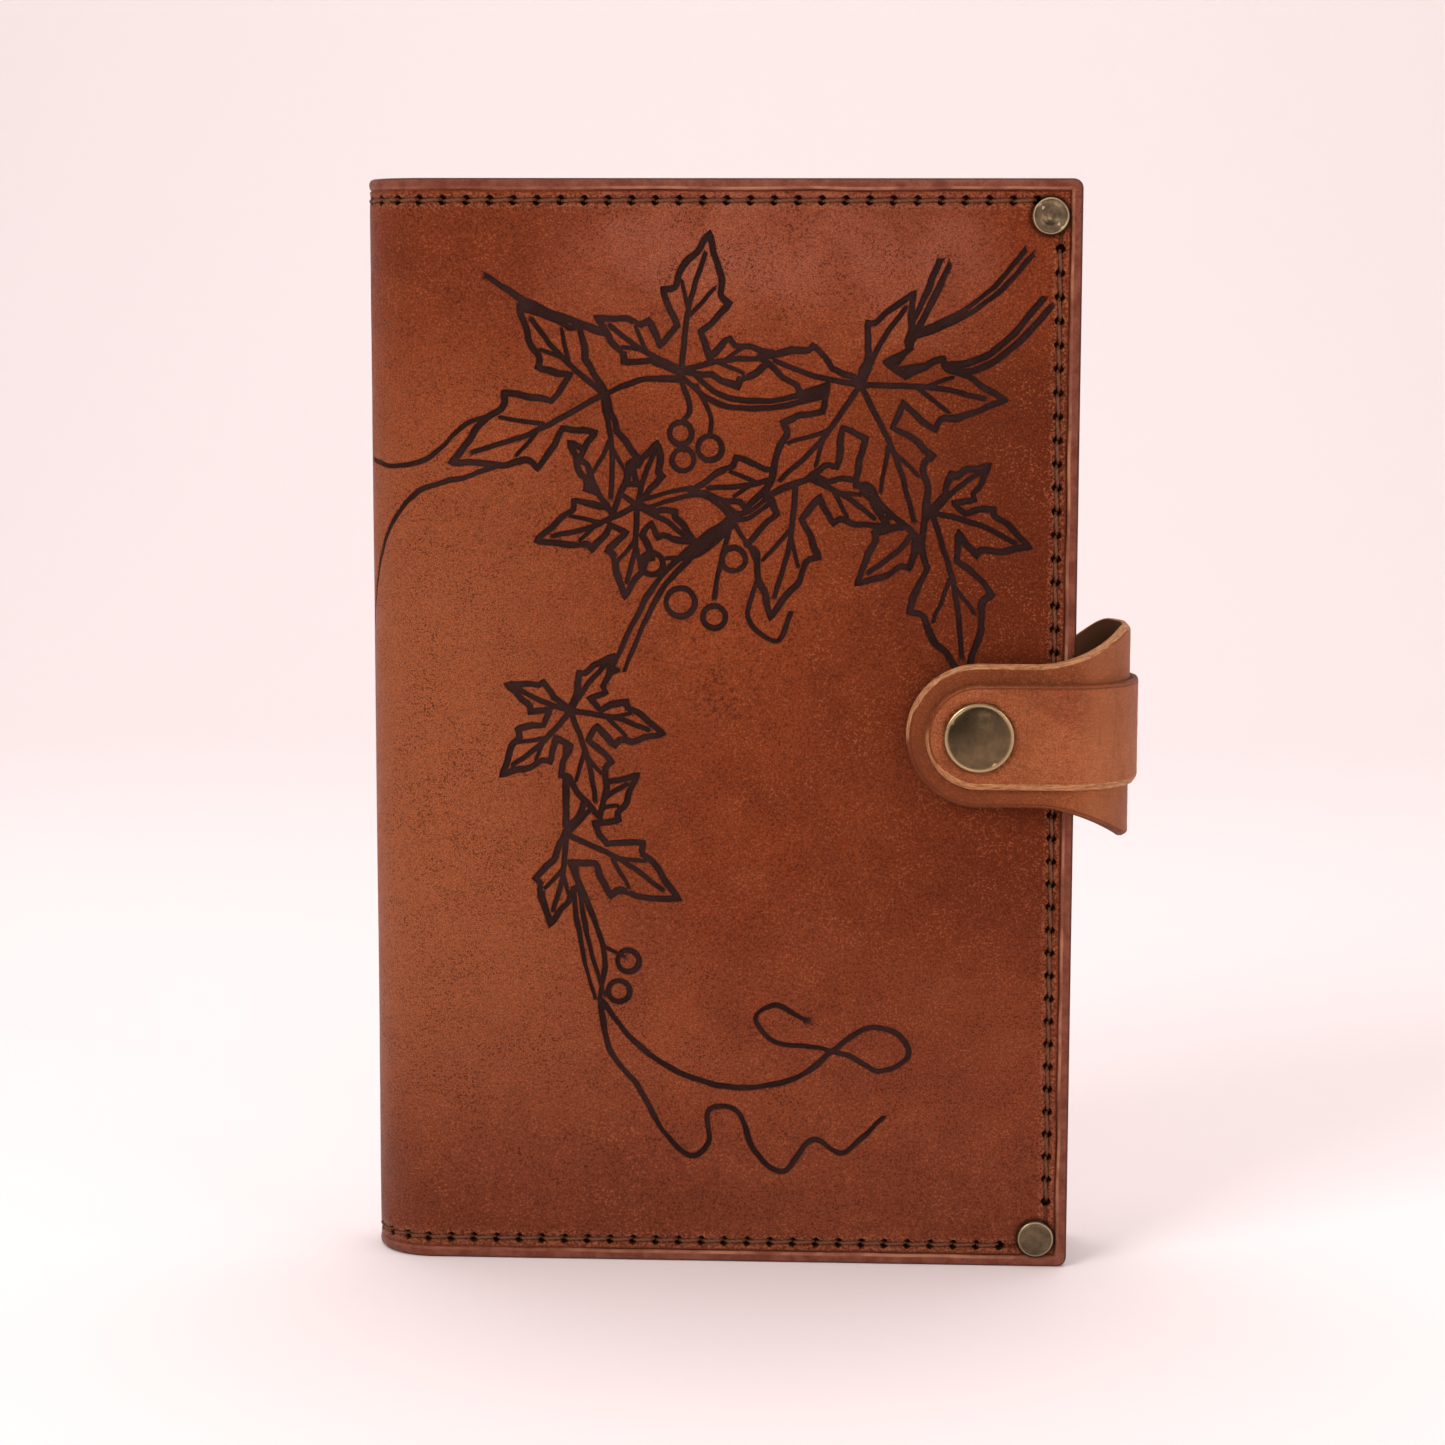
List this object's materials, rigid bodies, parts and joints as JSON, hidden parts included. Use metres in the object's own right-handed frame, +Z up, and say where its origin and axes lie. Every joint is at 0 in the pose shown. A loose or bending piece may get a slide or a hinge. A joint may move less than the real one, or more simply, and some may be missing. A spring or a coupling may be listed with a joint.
{
  "type": "leather notebook cover",
  "caption": "Upright leather notebook cover with a round spine, stitched edges, riveted corners and a snap strap round the fore-edge.",
  "frame": {"origin": "centre of the whole footprint, strap and snap included, at the height of the bottom edges the cover stands on", "axes": "+Z up along the cover's height, +X from the spine to the fore-edge, -Y out of the front cover"},
  "size_m": [0.1618, 0.038, 0.228],
  "materials": {
    "cover_leather": "burnished, satin",
    "lining_leather": "matt",
    "pocket_leather": "matt",
    "strap_leather": "satin",
    "thread": "waxed, matt",
    "antique_brass": "antiqued, satin"
  },
  "bodies": {
    "back_cover": {"back_panel": "cover_leather", "back_lining": "lining_leather", "back_pocket": "pocket_leather", "back_stitching": "thread", "back_rivet_caps": "antique_brass", "back_rivet_bases": "antique_brass", "strap_base_wide": "strap_leather", "strap_base_narrow": "strap_leather", "strap_stitching": "thread"},
    "spine_back": {"spine_back_leather": "cover_leather", "spine_back_lining": "lining_leather", "spine_back_stitching": "thread"},
    "spine_middle": {"spine_middle_leather": "cover_leather", "spine_middle_lining": "lining_leather", "spine_middle_stitching": "thread"},
    "spine_front": {"spine_front_leather": "cover_leather", "spine_front_lining": "lining_leather", "spine_front_stitching": "thread"},
    "front_cover": {"front_panel": "cover_leather", "front_lining": "lining_leather", "front_pocket": "pocket_leather", "front_stitching": "thread", "front_rivet_caps": "antique_brass", "front_rivet_bases": "antique_brass", "snap_stud": "antique_brass", "snap_post": "antique_brass"},
    "strap_bend": {"strap_bend_wide": "strap_leather", "strap_bend_narrow": "strap_leather"},
    "strap_end": {"strap_end_wide": "strap_leather", "strap_end_narrow": "strap_leather", "snap_cap": "antique_brass", "snap_socket": "antique_brass"}
  },
  "joints": [
    {"name": "spine_middle_fold", "type": "hinge", "parent": "spine_back", "child": "spine_middle", "pos_m": [-0.07918, 0.00875, 0], "axis": [0, 0, -1], "range_deg": [0, 60]},
    {"name": "spine_back_fold", "type": "hinge", "parent": "back_cover", "child": "spine_back", "pos_m": [-0.06792, 0.01525, 0], "axis": [0, 0, -1], "range_deg": [0, 30]},
    {"name": "spine_front_fold", "type": "hinge", "parent": "spine_middle", "child": "spine_front", "pos_m": [-0.07918, -0.00425, 0], "axis": [0, 0, -1], "range_deg": [0, 60]},
    {"name": "front_cover_fold", "type": "hinge", "parent": "spine_front", "child": "front_cover", "pos_m": [-0.06792, -0.01075, 0], "axis": [0, 0, -1], "range_deg": [0, 30]},
    {"name": "strap_back_fold", "type": "hinge", "parent": "back_cover", "child": "strap_bend", "pos_m": [0.06707, 0.01885, 0], "axis": [0, 0, 1], "range_deg": [0, 60]},
    {"name": "strap_front_fold", "type": "hinge", "parent": "strap_bend", "child": "strap_end", "pos_m": [0.06308, -0.01685, 0], "axis": [0, 0, 1], "range_deg": [0, 135]}
  ],
  "couplings": [
    {"joint": "spine_back_fold", "follows": "spine_middle_fold", "ratio": 0.5},
    {"joint": "spine_front_fold", "follows": "spine_middle_fold", "ratio": 1},
    {"joint": "front_cover_fold", "follows": "spine_middle_fold", "ratio": 0.5}
  ]
}
